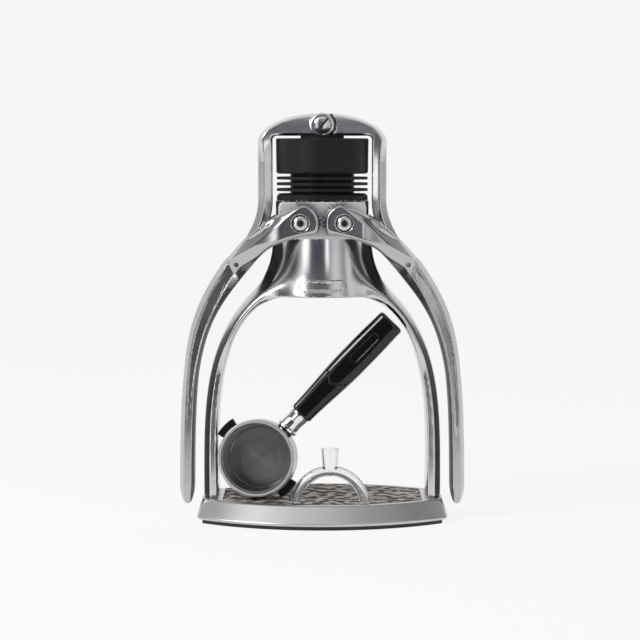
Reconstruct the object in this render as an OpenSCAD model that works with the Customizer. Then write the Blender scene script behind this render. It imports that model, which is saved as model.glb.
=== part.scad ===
// Manual lever espresso maker: an arched cast frame on a bowed base, two gear-linked
// levers, a two-piece yoke that drives a plunger in a black brewing chamber, with the
// loose portafilter leaning inside the arch and a clear twin spout standing on the mat.
// X runs to the right, Y away from the viewer, Z up. The origin lies on the table under
// the axis of the bell.

/* [Base] */
// Depth of the base at its foot, front to back
base_d = 130; // [124:1:144]
// Height of the base's lip above the table
base_h = 16.5; // [14:0.5:18]
// How far the base's foot stands out past the legs on each side
base_toe = 4; // [3:0.5:6]
// How far the front edge slopes back from foot to lip
base_slope = 10; // [7:0.5:11]
// Radius of the bowed front edge seen from above
base_bow_r = 134; // [126:1:150]
// Thickness of the rubber sole
sole_t = 2.5; // [1.5:0.25:3]
// Thickness of the rubber mat
mat_t = 2; // [1.5:0.25:3]

/* [Frame casting] */
// Clear width between the legs
arch_w = 147.8; // [142:0.2:154]
// Height of the bell's lower rim above the table
arch_h = 161; // [154:0.5:174]
// Thickness of a leg seen from the front
leg_t = 11.5; // [10:0.5:13]
// Depth of a leg at its foot, front to back
leg_d = 34; // [30:1:38]
// Radius of the bell's upper cylinder
bell_r = 33.4; // [33:0.1:35]
// Height of the bell from lower rim to top
bell_h = 68.7; // [67:0.1:74]
// Radius of the bell's lower rim
rim_r = 40; // [39.4:0.1:42]
// Width of the flat pad that carries the pivots
pad_w = 62; // [58:1:64]

/* [Levers] */
// Half the distance between the two lever pivots, also the gears' pitch radius
pivot_x = 15.4; // [15:0.1:16.5]
// How far the pivots lie under the bell's top
pivot_drop = 15.7; // [15:0.1:18]
// Distance from pivot to cross pin
link_len = 54.75; // [53:0.25:57]
// Droop of the link from the horizontal with the levers down
link_droop = 33.6; // [31:0.2:36]
// Angle through which a lever is raised
lever_raise = 75; // [60:1:76]
// Gap between a leg and the handle beside it
lever_gap = 6.7; // [5:0.1:9]
// Thickness of a handle seen from the front
handle_t = 10.6; // [9:0.2:12]
// Depth of a handle, front to back
handle_d = 27; // [24:0.5:30]
// Height of the handles' ends above the table
handle_end = 10; // [7:0.5:20]
// Teeth on a full gear
gear_teeth = 30; // [28:2:32]
// Thickness of a lever's end plate
plate_t = 9.5; // [8.5:0.25:11]

/* [Brewing chamber] */
// Radius of the piston's bore
bore_r = 20.5; // [19.5:0.1:20.8]
// Outer radius of the water cup
cup_r = 33.2; // [32.6:0.1:34]
// Height of the water cup
cup_h = 25.2; // [22:0.1:28]
// Height of the ribbed neck under the cup
neck_h = 14.2; // [13.8:0.2:17]
// Height of the flange on the bell
flange_h = 4.4; // [3.6:0.2:5]
// Number of cooling ribs round the neck
rib_count = 3; // [2:1:3]
// Thickness of a cooling rib
rib_t = 1.9; // [1.4:0.1:2.2]
// Wall of the neck and of the cup
chamber_wall = 2.4; // [2:0.1:2.8]

/* [Yoke and plunger] */
// Gap between the cup and the yoke's sides
yoke_gap = 2.3; // [2.2:0.1:3]
// Thickness of the yoke's sides seen from the front
yoke_t = 10.6; // [9:0.2:12]
// Depth of the yoke, front to back
yoke_d = 19; // [18:0.5:20]
// Height of the yoke's top bar at the middle
yoke_bar_h = 16.6; // [16.2:0.1:19]
// Radius of the screw through the yoke's eyes
yoke_screw_r = 4; // [3.5:0.1:4.5]
// Radius of a cross pin
cross_pin_r = 2; // [1.8:0.1:2.4]
// Radius of the plunger
plunger_r = 19.7; // [18.5:0.1:19.9]

/* [Portafilter and spout] */
// Outer radius of the portafilter's rim
pf_r = 27.6; // [27:0.1:27.8]
// Depth of the portafilter's bowl
pf_h = 30; // [26:0.5:34]
// How far the bayonet lugs stand out of the rim
lug_out = 5.5; // [4.6:0.1:5.6]
// Length of the chromed ferrule
ferrule_l = 15; // [12:0.5:18]
// How far the portafilter's mouth is turned to the left
pf_turn = 7; // [5:0.5:10]
// How far the portafilter leans back
pf_tilt = 5; // [3:0.5:6]
// Room between the leaning handle's end and the leg beside it
pf_side_room = 24.1; // [22:0.1:30]
// Room between the leaning handle's end and the height of the bell's rim
pf_top_room = 17; // [15:0.5:22]
// Outer half-width of the twin spout's arch
spout_r = 28.2; // [24:0.2:30]
// Radius of the spout's tube
spout_tube_r = 3.7; // [3.2:0.1:4.4]

/* [Hidden] */
$fn = 64;

alu = [0.78, 0.79, 0.80];
black = [0.07, 0.07, 0.08];
steel = [0.62, 0.63, 0.65];
rubber = [0.16, 0.15, 0.15];

// Clearances
run_gap = 0.05;
slide_gap = 0.3;

// Leg and base places
leg_in = arch_w / 2;
leg_out = leg_in + leg_t;
leg_mid = leg_in + leg_t / 2;
base_end = leg_out + base_toe;
base_end_slope = base_toe - 0.4;
base_cy = base_bow_r - base_d / 2;
base_bevel = 2;
base_corner_r = base_end + 3;
mat_margin = 4;
mat_proud = 0.3;
mat_half = leg_in - 3;
mat_top = base_h + mat_proud;
sole_margin = 4;
base_screw_r = 2.5;
base_screw_y = 9;
base_screw_depth = 14;
base_head_r = 4.4;
base_head_h = 3;

// Bell places
bell_top = arch_h + bell_h;
pivot_z = bell_top - pivot_drop;
pad_y = bell_r + 2.4;
pad_drop = 11;
pad_corner = 4;
ring_h = 13.5;
ring_clear = 0.1;
group_r = 34.7;
pocket_r = 29.6;
pocket_h = 4.6;
group_z = arch_h + ring_h + 0.5;
chamber_z = group_z + pocket_h;
core_r = bore_r + chamber_wall;
spigot_r = core_r + 2.8;

// Pivot stack, measured outwards from the pad
washer_t = 0.5;
washer_r = 8;
plate_in = pad_y + washer_t + 0.2;
plate_out = plate_in + plate_t;
plate_r = pivot_x - 1.9;
plate_low = 8.3;
gear_w = 4;
screw_recess = 2.6;
screw_head_r = 5.4;
screw_head_h = 3.2;
shoulder_r = 4;
thread_r = 3;
thread_l = 10;
bush_wall = 1;
bush_r = shoulder_r + run_gap + bush_wall;

// Link geometry
link_dx = link_len * cos(link_droop);
link_dz = link_len * sin(link_droop);
pin_x = pivot_x + link_dx;
pin_z = pivot_z - link_dz;
handle_x = leg_out + lever_gap + handle_t / 2;

// Chamber places
flange_top = bell_top + flange_h;
cup_z = flange_top + neck_h;
cup_top = cup_z + cup_h;
rib_r = cup_r - 0.6;
rib_pitch = neck_h / (rib_count + 0.45);
cup_floor = 2.6;
chamber_floor = 2.8;

// Yoke places
yoke_in = cup_r + yoke_gap;
yoke_out = yoke_in + yoke_t;
yoke_low = cup_top + 1.8;
yoke_top = yoke_low + yoke_bar_h;
top_x = 0;
top_z = yoke_low + 0.45 * yoke_bar_h;
crown_h = 21.2;
crown_z = yoke_top - crown_h;
eye_r = 8.6;
eye_gap = 1.6;
eye_neck = 13;
tongue_t = 6;
tongue_r = 7.4;
yoke_slit = tongue_t / 2 + slide_gap;
tail_r = 6.5;
tail_run = 17.5;
tail_y = 8;
cheek_in = tail_y + 1.3;
cheek_out = 20;
cross_pin_half = 15.5;
cap_z = yoke_low - 1.7;
land_in = yoke_d / 2 + 1.1;
land_top = yoke_low + 0.2;

// The slot for the cross pin: its path in the lever's own frame while the plunger rises
// in proportion to the lever's angle
yoke_len = norm([pin_x, top_z - pin_z]);
yoke_tilt = asin(pin_x / yoke_len);
function raised_pin(a) = [pivot_x + link_len * cos(a - link_droop), pivot_z + link_len * sin(a - link_droop)];
pin_up = raised_pin(lever_raise);
tilt_up = asin(pin_up[0] / yoke_len);
stroke = pin_up[1] + yoke_len * cos(tilt_up) - top_z;
function yoke_pin(f) = let (a = yoke_tilt + f * (tilt_up - yoke_tilt))
    [yoke_len * sin(a), top_z + f * stroke - yoke_len * cos(a)];
function turned(v, a) = [v[0] * cos(a) - v[1] * sin(a), v[0] * sin(a) + v[1] * cos(a)];
function pin_in_lever(f) = turned(yoke_pin(f) - [pivot_x, pivot_z], link_droop - f * lever_raise);
slot_path = [for (k = [0:24]) pin_in_lever(k / 24)];
slot_near = min([for (p = slot_path) p[0]]);
slot_side = max([for (p = slot_path) abs(p[1])]);
slot_r = cross_pin_r + slot_side + slide_gap;

// Portafilter places
lug_r = pf_r + lug_out;
lug_h = 4.5;
pf_axis = 11;
pf_shoulder = 10;
pf_set_back = 37;
pf_lap = 0.8;
pf_x = -leg_in + pf_r * cos(pf_turn) - pf_lap;
pf_y = pf_set_back - base_d / 2;
pf_z = mat_top + slide_gap + pf_r * cos(pf_tilt) + (pf_h - pf_shoulder) * sin(pf_tilt);
pf_rise = (arch_h - pf_top_room - pf_z + pf_axis * sin(pf_tilt)) / cos(pf_tilt);
pf_back = pf_axis * cos(pf_tilt) + pf_rise * sin(pf_tilt);
pf_run = (leg_in - pf_side_room - pf_x - pf_back * sin(pf_turn)) / cos(pf_turn);
pf_reach = norm([pf_run, pf_rise]);
pf_lean = atan2(pf_rise, pf_run);
pf_wall = 2.4;
basket_t = 0.8;
basket_r = pf_r - 1.3;
basket_wall_r = pf_r - pf_wall - 0.9;
basket_h = pf_h - 8;
spring_r = 0.5;
ferrule_x = pf_r + 1.5;
grip_x = ferrule_x + ferrule_l;
stud_r = 3;
stud_in_grip = 45;
spout_set_back = 21;
spout_x = 5.5;
spout_y = spout_set_back - base_d / 2;

// A cubic curve and its direction
function bez(p, t) = pow(1 - t, 3) * p[0] + 3 * pow(1 - t, 2) * t * p[1]
    + 3 * (1 - t) * t * t * p[2] + t * t * t * p[3];
function bez_slope(p, t) = pow(1 - t, 2) * (p[1] - p[0]) + 2 * (1 - t) * t * (p[2] - p[1])
    + t * t * (p[3] - p[2]);
function bez_dir(p, t) = bez_slope(p, t) / norm(bez_slope(p, t));
function side(d) = [-d[1], d[0]];
function mix(a, b, f) = a + (b - a) * f;
function ease(x) = let (c = min(1, max(0, x))) c * c * (3 - 2 * c);

// A closed skin over rings that all have the same number of points
module skin(rings) {
    n = len(rings[0]);
    m = len(rings);
    pts = [for (r = rings) each r];
    sides = [for (i = [0:m - 2], j = [0:n - 1], k = [0, 1])
        let (a = i * n + j, b = i * n + (j + 1) % n)
        k == 0 ? [a, b, b + n] : [a, b + n, a + n]];
    ends = [[for (j = [n - 1:-1:0]) j], [for (j = [0:n - 1]) (m - 1) * n + j]];
    polyhedron(points = pts, faces = concat(sides, ends), convexity = 6);
}

// A straight pin or bore along Y, from y0 to y1
module rod_y(x, z, r, y0, y1) {
    translate([x, y0, z])
        rotate([-90, 0, 0])
            cylinder(r = r, h = y1 - y0);
}

// Drawn on the XZ plane, then pulled along Y from y0 to y1
module slab_y(y0, y1) {
    translate([0, y1, 0])
        rotate([90, 0, 0])
            linear_extrude(height = y1 - y0)
                children();
}

module rounded_plate(w, h, r) {
    square([w - 2 * r, h], center = true);
    square([w, h - 2 * r], center = true);
    for (x = [-1, 1], y = [-1, 1])
        translate([x * (w / 2 - r), y * (h / 2 - r)])
            circle(r = r);
}

module both_sides() {
    children();
    mirror([1, 0, 0])
        children();
}

module front_and_back() {
    children();
    mirror([0, 1, 0])
        children();
}

// Base: bowed front and back, softened corners and sloping ends

module bowed_outline(inset, half) {
    intersection() {
        translate([0, base_cy])
            circle(r = base_bow_r - inset);
        translate([0, -base_cy])
            circle(r = base_bow_r - inset);
        square([2 * half, 2 * base_d], center = true);
    }
}

module sloped_disc(r) {
    rotate_extrude()
        polygon([[0, sole_t], [r - base_bevel, sole_t], [r, sole_t + base_bevel],
            [r - base_slope, base_h], [0, base_h]]);
}

module base_screw_places() {
    for (x = [-1, 1], y = [-1, 1])
        translate([x * leg_mid, y * base_screw_y, 0])
            children();
}

module base_plate() {
    color(alu)
    difference() {
        intersection() {
            translate([0, base_cy, 0])
                sloped_disc(base_bow_r);
            translate([0, -base_cy, 0])
                sloped_disc(base_bow_r);
            sloped_disc(base_corner_r + base_slope / 2);
            slab_y(-base_d, base_d)
                polygon([[-base_end + base_bevel, sole_t], [base_end - base_bevel, sole_t],
                    [base_end, sole_t + base_bevel], [base_end - base_end_slope, base_h],
                    [-base_end + base_end_slope, base_h], [-base_end, sole_t + base_bevel]]);
        }
        translate([0, 0, base_h - mat_t])
            linear_extrude(height = mat_t + 1)
                bowed_outline(base_slope + mat_margin, mat_half);
        base_screw_places() {
            cylinder(r = base_screw_r + run_gap, h = base_h + 1);
            cylinder(r = base_head_r + slide_gap, h = sole_t + 0.6 + base_head_h);
        }
    }
}

module base_mat() {
    color(rubber)
    translate([0, 0, base_h - mat_t])
        linear_extrude(height = mat_t + mat_proud)
            bowed_outline(base_slope + mat_margin + 0.2, mat_half - 0.2);
}

module base_sole() {
    color(rubber)
    difference() {
        linear_extrude(height = sole_t)
            intersection() {
                bowed_outline(sole_margin, base_end - sole_margin);
                circle(r = base_corner_r - sole_margin + base_slope / 2);
            }
        base_screw_places()
            translate([0, 0, -1])
                cylinder(r = base_head_r + slide_gap, h = sole_t + 2);
    }
}

module base_screws() {
    color(steel)
    base_screw_places()
        translate([0, 0, sole_t + 0.6])
            difference() {
                union() {
                    cylinder(r = base_head_r, h = base_head_h);
                    cylinder(r = base_screw_r, h = base_h + base_screw_depth - sole_t - 1);
                }
                translate([0, 0, -1])
                    cylinder(r = 2, h = 2.8, $fn = 6);
            }
}

// Frame casting: trumpet-shaped bell on two legs

leg_section = [[0, -0.72], [0.1, -0.94], [0.34, -1], [0.62, -0.94], [0.92, -0.6], [1, -0.25],
    [1, 0.25], [0.92, 0.6], [0.62, 0.94], [0.34, 1], [0.1, 0.94], [0, 0.72]];

function section_ring(section, inner, outer, half) =
    [for (s = section) let (q = mix(inner, outer, s[0])) [q[0], s[1] * half, q[1]]];

shoulder_x = 50.2;
shoulder_z = arch_h + 2.7;
flare_outer = [[bell_r - 0.4, bell_top - 31], [bell_r + 1.1, arch_h + 21.5],
    [bell_r + 8.6, arch_h + 12], [shoulder_x, shoulder_z]];
leg_outer = [[shoulder_x, shoulder_z], [leg_out + 1.9, arch_h - 34.4], [leg_out, arch_h / 2 - 4],
    [leg_out, base_h]];
leg_inner = [[rim_r - 10, arch_h], [leg_in + 8.1, arch_h - 14.75], [leg_in, base_h + 36], [leg_in, base_h]];
flare_inner_x = 10;
leg_root_half = 25;
leg_waist_half = leg_d / 2 - 1.5;

function leg_half(t) = t < 0.5
    ? mix(leg_root_half, leg_waist_half, ease(t / 0.45))
    : mix(leg_waist_half, leg_d / 2, ease((t - 0.6) / 0.4));

leg_rings = concat(
    [for (t = [0:0.25:0.76]) section_ring(leg_section,
        mix([flare_inner_x, bell_top - 37], leg_inner[0], t),
        bez(flare_outer, t), mix(8, leg_root_half, sqrt(t)))],
    [for (t = [0:0.0625:1]) section_ring(leg_section, bez(leg_inner, t), bez(leg_outer, t), leg_half(t))]);

module bell_blank() {
    rotate_extrude()
        polygon(concat([[0, arch_h], [rim_r - 0.8, arch_h], [rim_r, arch_h + 0.8]],
            [for (t = [0.1:0.1:1]) bez([[rim_r, arch_h + 0.8], [rim_r - 2.6, arch_h + 11],
                [bell_r, arch_h + 22], [bell_r, arch_h + 38]], t)],
            [[bell_r, bell_top - 1.2], [bell_r - 1.2, bell_top], [0, bell_top]]));
}

module badge_outline(w, h) {
    square([w - h, h], center = true);
    for (x = [-1, 1])
        translate([x * (w - h) / 2, 0])
            circle(r = h / 2);
}

module frame_casting() {
    color(alu)
    difference() {
        union() {
            bell_blank();
            both_sides()
                skin(leg_rings);
            front_and_back()
                slab_y(-pad_y, -bore_r - 8)
                    translate([0, pivot_z + (pivot_drop - 0.8 - pad_drop) / 2])
                        rounded_plate(pad_w, pivot_drop - 0.8 + pad_drop, pad_corner);
            slab_y(-rim_r + 0.2, -group_r)
                translate([0, arch_h + 8.5])
                    badge_outline(33, 8);
        }
        translate([0, 0, arch_h - 1])
            cylinder(r = group_r, h = ring_h + 1.5);
        translate([0, 0, arch_h])
            cylinder(r = pocket_r, h = ring_h + 0.5 + pocket_h);
        translate([0, 0, arch_h])
            cylinder(r = spigot_r + run_gap, h = bell_h + 1);
        both_sides()
            front_and_back()
                rod_y(pivot_x, pivot_z, thread_r + run_gap, -pad_y - 1, -pad_y + thread_l + 0.5);
        base_screw_places()
            cylinder(r = base_screw_r + run_gap, h = base_h + base_screw_depth + 1);
        group_screw_places()
            cylinder(r = group_screw_r + run_gap, h = ring_h + group_screw_l);
    }
}

// Pivots: shouldered button-head screws with thin washers, front and back

module pivot_screws() {
    head_y = plate_out - screw_recess + 0.4;
    color(steel)
    both_sides()
        front_and_back()
            translate([pivot_x, -head_y, pivot_z])
                rotate([90, 0, 0])
                    difference() {
                        union() {
                            rotate_extrude()
                                polygon(concat([[0, 0], [screw_head_r, 0], [screw_head_r, 0.7]],
                                    [for (a = [15:15:60]) [screw_head_r * cos(a) * 1.02,
                                        0.7 + (screw_head_h - 0.7) * sin(a) / sin(60)]],
                                    [[0, screw_head_h]]));
                            translate([0, 0, pad_y - head_y])
                                cylinder(r = shoulder_r, h = head_y - pad_y);
                            translate([0, 0, pad_y - head_y - thread_l])
                                cylinder(r = thread_r, h = thread_l);
                        }
                        translate([0, 0, screw_head_h - 2])
                            cylinder(r = 2.3, h = 3, $fn = 6);
                    }
}

module pivot_washers() {
    color(black)
    both_sides()
        front_and_back()
            difference() {
                rod_y(pivot_x, pivot_z, washer_r, -pad_y - washer_t, -pad_y);
                rod_y(pivot_x, pivot_z, shoulder_r + run_gap, -pad_y - 1, 0);
            }
}

// Brewing chamber: cup, ribbed neck, flange and spigot in one moulding

outlet_count = 8;
outlet_r = 2;
screen_screw_r = 2;
ring_groove = 1.8;
ring_z = chamber_z + 8;

module pressure_chamber() {
    color(black)
    difference() {
        union() {
            rotate_extrude()
                polygon([[0, chamber_z + 0.2], [spigot_r, chamber_z + 0.2], [spigot_r, bell_top],
                    [rib_r, bell_top], [rib_r, flange_top - 1.6], [rib_r - 1.6, flange_top],
                    [core_r, flange_top], [core_r, cup_z], [cup_r - 1.4, cup_z],
                    [cup_r - 0.3, cup_z + 1.1], [cup_r, cup_top - 0.8], [cup_r - 0.8, cup_top],
                    [cup_r - chamber_wall, cup_top], [cup_r - chamber_wall - 0.4, cup_z + cup_floor + 1.5],
                    [bore_r, cup_z + cup_floor - 1], [0, cup_z + cup_floor - 1]]);
            for (k = [1:rib_count])
                translate([0, 0, cup_z - k * rib_pitch])
                    cylinder(r = rib_r, h = rib_t);
        }
        translate([0, 0, chamber_z + 0.2 + chamber_floor])
            cylinder(r = bore_r, h = cup_top);
        for (k = [0:outlet_count - 1])
            rotate(k * 360 / outlet_count)
                translate([bore_r * 0.6, 0, chamber_z - 1])
                    cylinder(r = outlet_r, h = chamber_floor + 3);
        translate([0, 0, chamber_z - 1])
            cylinder(r = screen_screw_r + run_gap, h = chamber_floor + 3);
        translate([0, 0, ring_z - ring_groove / 2 - 0.2])
            difference() {
                cylinder(r = spigot_r + 1, h = ring_groove + 0.4);
                cylinder(r = spigot_r - ring_groove, h = ring_groove + 0.4);
            }
    }
}

module chamber_ring() {
    color(rubber)
    translate([0, 0, ring_z])
        rotate_extrude()
            translate([spigot_r - ring_groove / 2 + 0.02, 0])
                circle(r = ring_groove / 2);
}

// Group head: bayonet ring, gasket and shower screen under the bell

group_screw_r = 1.3;
group_screw_l = 8;
group_screw_at = (pocket_r + group_r) / 2 - 0.45;
lip_r = pf_r + 0.7;
lip_h = 5;
channel_r = lug_r + 0.4;
channel_h = lug_h + 2;
notch_half = 16;

module group_screw_places() {
    for (y = [-1, 1])
        translate([0, y * group_screw_at, arch_h])
            children();
}

module sector(r, half, h) {
    linear_extrude(height = h)
        polygon([[0, 0], [r * cos(half), -r * sin(half)], [r / cos(half), 0], [r * cos(half), r * sin(half)]]);
}

module group_ring() {
    color(steel)
    difference() {
        translate([0, 0, arch_h + 0.4])
            cylinder(r = group_r - ring_clear, h = ring_h);
        translate([0, 0, arch_h - 1])
            cylinder(r = lip_r, h = ring_h + 3);
        translate([0, 0, arch_h + 0.4 + lip_h])
            cylinder(r = channel_r, h = channel_h);
        for (a = [90, 270])
            rotate(a)
                translate([0, 0, arch_h - 1])
                    intersection() {
                        sector(channel_r, notch_half, lip_h + 3);
                        cylinder(r = channel_r - 0.2, h = lip_h + 3);
                    }
        group_screw_places()
            cylinder(r = group_screw_r + run_gap, h = ring_h + 2);
    }
}

module group_screws() {
    color(steel)
    group_screw_places()
        translate([0, 0, lip_h + channel_h - 1.2])
            difference() {
                union() {
                    cylinder(r = 1.7, h = 1.5);
                    cylinder(r = group_screw_r, h = ring_h + group_screw_l - lip_h - channel_h);
                }
                translate([0, 0, -1])
                    cylinder(r = 1.1, h = 1.9, $fn = 6);
            }
}

screen_t = 1;

module group_gasket() {
    color(rubber)
    translate([0, 0, group_z + 0.2])
        difference() {
            cylinder(r = pocket_r - 0.1, h = pocket_h - screen_t - 0.3);
            translate([0, 0, -1])
                cylinder(r = bore_r + 3, h = pocket_h + 2);
        }
}

module shower_screen() {
    color(steel)
    translate([0, 0, chamber_z - screen_t])
        difference() {
            cylinder(r = pocket_r - 0.3, h = screen_t);
            translate([0, 0, -1])
                cylinder(r = screen_screw_r + run_gap, h = screen_t + 2);
            for (ring = [1:3], k = [0:6 * ring - 1])
                rotate(k * 60 / ring)
                    translate([ring * bore_r / 3.4, 0, -1])
                        cylinder(r = 0.8, h = screen_t + 2);
        }
}

module screen_screw() {
    color(steel)
    translate([0, 0, chamber_z - screen_t])
        difference() {
            union() {
                translate([0, 0, -1.6])
                    cylinder(r = 4, h = 1.6);
                translate([0, 0, -0.1])
                    cylinder(r = screen_screw_r, h = screen_t + chamber_floor);
            }
            translate([-5, -0.5, -2])
                cube([10, 1, 1.2]);
        }
}

// Levers: a wishbone that straddles the bell and closes into one handle

limb_path = [[pivot_x, pivot_z + 1], [pivot_x + 0.583 * link_dx, pivot_z - 0.2 * link_dz],
    [pivot_x + 0.79 * link_dx, pivot_z - 0.65 * link_dz], [pin_x, pin_z]];
handle_path = [[pin_x, pin_z], [handle_x - 4.1, pin_z - 41.5], [handle_x, pin_z - 61],
    [handle_x, handle_end]];
pin_width = 18;
plate_section = [[0, 0], [0, 0.8], [0.06, 1], [0.34, 1], [0.66, 1], [0.94, 1], [1, 0.8], [1, 0]];
grip_section = [[0, 0], [0.03, 0.45], [0.15, 0.82], [0.32, 1], [0.64, 1], [0.87, 0.72], [0.98, 0.36], [1, 0]];

function lever_ring(path, t, w, y_in, y_out, b) =
    let (c = bez(path, t), n = side(bez_dir(path, t)))
    [for (j = [0:len(grip_section) - 1])
        let (s = mix(plate_section[j], grip_section[j], b), q = c + n * (s[0] - 0.5) * w)
        [q[0], -mix(y_in, y_out, s[1]), q[1]]];

function limb_ring(t) = lever_ring(limb_path, t,
    mix(mix(20.4, 16.2, ease(t / 0.5)), pin_width, ease((t - 0.5) / 0.5)),
    mix(plate_in + 0.3, cheek_in, ease((t - 0.25) / 0.75)),
    mix(plate_out - 0.4, cheek_out, ease((t - 0.36) / 0.7)),
    ease((t - 0.25) / 0.6));

function handle_ring(t, y_in) =
    let (tip = t > 0.93 ? sqrt(max(0.14, 1 - pow((t - 0.93) / 0.07, 2))) : 1)
    lever_ring(handle_path, t, tip * mix(pin_width, handle_t, min(1, t / 0.62)),
        y_in, tip * mix(cheek_out, handle_d / 2, ease(t / 0.4)), 1);

fork_half = concat([for (t = [0.06:0.094:1.001]) limb_ring(t)],
    [for (t = [0.03, 0.06]) handle_ring(t, cheek_in - 0.2)]);
grip_half = [for (t = [0.085, 0.13, 0.19, 0.26, 0.34, 0.43, 0.53, 0.64, 0.75, 0.85, 0.93, 0.965,
    0.985, 1]) handle_ring(t, 0)];

// Front and rear halves share the handle's middle plane; the fork opens above the crotch
module lever_skin() {
    half = concat(fork_half, grip_half);
    n = len(grip_section);
    m = len(half);
    c = len(fork_half);
    pts = concat([for (r = half) each r], [for (r = half, p = r) [p[0], -p[1], p[2]]]);
    function at(s, i, j) = (s * m + i) * n + j;
    function quad(s, a, b, p, q) = s == 0 ? [[a, b, p], [a, p, q]] : [[a, p, b], [a, q, p]];
    outside = [for (s = [0, 1], i = [0:m - 2], j = [0:n - 2])
        each quad(s, at(s, i, j), at(s, i, j + 1), at(s, i + 1, j + 1), at(s, i + 1, j))];
    inside = [for (s = [0, 1], i = [0:c - 1])
        each quad(s, at(s, i, n - 1), at(s, i, 0), at(s, i + 1, 0), at(s, i + 1, n - 1))];
    starts = [[for (j = [n - 1:-1:0]) at(0, 0, j)], [for (j = [0:n - 1]) at(1, 0, j)]];
    last = [concat([for (j = [0:n - 1]) at(0, m - 1, j)], [for (j = [n - 2:-1:1]) at(1, m - 1, j)])];
    polyhedron(points = pts, faces = concat(outside, inside, starts, last), convexity = 8);
}

gear_module = 2 * pivot_x / gear_teeth;
gear_pitch = 360 / gear_teeth;
gear_back = 0.22 * gear_pitch / 2;
gear_first = 1;
gear_last = ceil((lever_raise + 10) / gear_pitch);

function polar(r, a) = [r * cos(a), r * sin(a)];

// Teeth stand towards the other lever and climb towards the top
module gear_sector(phase) {
    root = pivot_x - 1.25 * gear_module;
    tip = pivot_x + 0.85 * gear_module;
    for (k = [-gear_first:gear_last]) {
        a = k * gear_pitch + phase;
        polygon([polar(root - 1.5, a - 4), polar(root, a - 3.6), polar(pivot_x, a - 3 + gear_back),
            polar(tip, a - 1.1), polar(tip, a + 1.1), polar(pivot_x, a + 3 - gear_back),
            polar(root, a + 3.6), polar(root - 1.5, a + 4)]);
    }
    intersection() {
        circle(r = root);
        translate([-2 * root, 0.4 - plate_low])
            square([4 * root, 2 * root + plate_low]);
    }
}

module end_plate() {
    intersection() {
        circle(r = plate_r);
        translate([-2 * plate_r, -plate_low])
            square([4 * plate_r, 2 * plate_r + plate_low]);
    }
}

// Drawn as the right-hand lever
module lever(phase) {
    difference() {
        union() {
            lever_skin();
            front_and_back() {
                slab_y(-plate_out, -plate_in)
                    translate([pivot_x, pivot_z])
                        end_plate();
                slab_y(-plate_in - gear_w, -plate_in)
                    translate([pivot_x, pivot_z])
                        mirror([1, 0])
                            gear_sector(phase);
            }
        }
        front_and_back() {
            rod_y(pivot_x, pivot_z, bush_r + 0.02, -plate_out - 1, -plate_in + 1);
            rod_y(pivot_x, pivot_z, screw_head_r + 0.5, -plate_out - 1, -plate_out + screw_recess);
            rod_y(pin_x, pin_z, 1.6, -cheek_out - 2, -cheek_out + 1.8);
            slab_y(-cross_pin_half - 0.4, -cheek_in + 2)
                translate([pivot_x, pivot_z])
                    rotate(-link_droop) {
                        translate([slot_near, 0])
                            circle(r = slot_r);
                        translate([link_len, 0])
                            circle(r = slot_r);
                        translate([slot_near, -slot_r])
                            square([link_len - slot_near, 2 * slot_r]);
                    }
        }
    }
}

module lever_right() {
    color(alu)
    lever(-gear_pitch / 4);
}

module lever_left() {
    color(alu)
    mirror([1, 0, 0])
        lever(gear_pitch / 4);
}

module bushes() {
    front_and_back()
        difference() {
            rod_y(pivot_x, pivot_z, bush_r, -plate_out + screw_recess + 0.1, -plate_in - 0.1);
            rod_y(pivot_x, pivot_z, shoulder_r + run_gap, -plate_out, 0);
        }
}

module bushes_right() {
    color([0.72, 0.55, 0.3])
    bushes();
}

module bushes_left() {
    color([0.72, 0.55, 0.3])
    mirror([1, 0, 0])
        bushes();
}

// Plunger and piston

piston_low = chamber_z + chamber_floor + 4;
piston_h = 10;
seal_h = 5;
seal_in = bore_r - 4;
bolt_r = 4;
bolt_head_r = 6.5;
bolt_head_h = 3.5;
bolt_l = 22;
plunger_wall = 3.5;
plunger_floor = 12;

module plunger() {
    color(black)
    difference() {
        union() {
            rotate_extrude()
                polygon([[0, piston_low + piston_h], [plunger_r, piston_low + piston_h],
                    [plunger_r, cap_z - 0.8], [plunger_r - 1, cap_z], [0, cap_z]]);
            difference() {
                translate([0, 0, cap_z - 1])
                    cylinder(r = plunger_r - 1, h = land_top - cap_z + 1);
                translate([-plunger_r, -land_in, cap_z - 2])
                    cube([2 * plunger_r, 2 * land_in, land_top - cap_z + 3]);
            }
            rod_y(top_x, top_z, tongue_r, -tongue_t / 2, tongue_t / 2);
            translate([-tongue_r, -tongue_t / 2, cap_z - 1])
                cube([2 * tongue_r, tongue_t, top_z - cap_z + 1]);
        }
        translate([0, 0, piston_low + piston_h + plunger_floor])
            cylinder(r = plunger_r - plunger_wall, h = cap_z - 6 - piston_low - piston_h - plunger_floor);
        translate([0, 0, piston_low])
            cylinder(r = bolt_r + run_gap, h = piston_h + plunger_floor + 1);
        rod_y(top_x, top_z, yoke_screw_r + run_gap, -tongue_t, tongue_t);
    }
}

module piston_head() {
    color([0.85, 0.84, 0.8])
    difference() {
        translate([0, 0, piston_low])
            cylinder(r = plunger_r, h = piston_h);
        translate([0, 0, piston_low + (piston_h - seal_h) / 2 - 0.1])
            difference() {
                cylinder(r = bore_r + 1, h = seal_h + 0.2);
                cylinder(r = seal_in - 0.05, h = seal_h + 0.2);
            }
        translate([0, 0, piston_low - 1])
            cylinder(r = bolt_r + run_gap, h = piston_h + 2);
        translate([0, 0, piston_low - 1])
            cylinder(r = bolt_head_r + slide_gap, h = bolt_head_h + 1.1);
    }
}

module piston_seal() {
    color(rubber)
    translate([0, 0, piston_low + (piston_h - seal_h) / 2])
        rotate_extrude()
            polygon([[seal_in, 0], [bore_r - 1.6, 0], [bore_r - 0.9, 1.2], [bore_r - run_gap, 0.4],
                [bore_r - run_gap, 2.6], [bore_r - 0.9, seal_h], [seal_in, seal_h]]);
}

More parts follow.
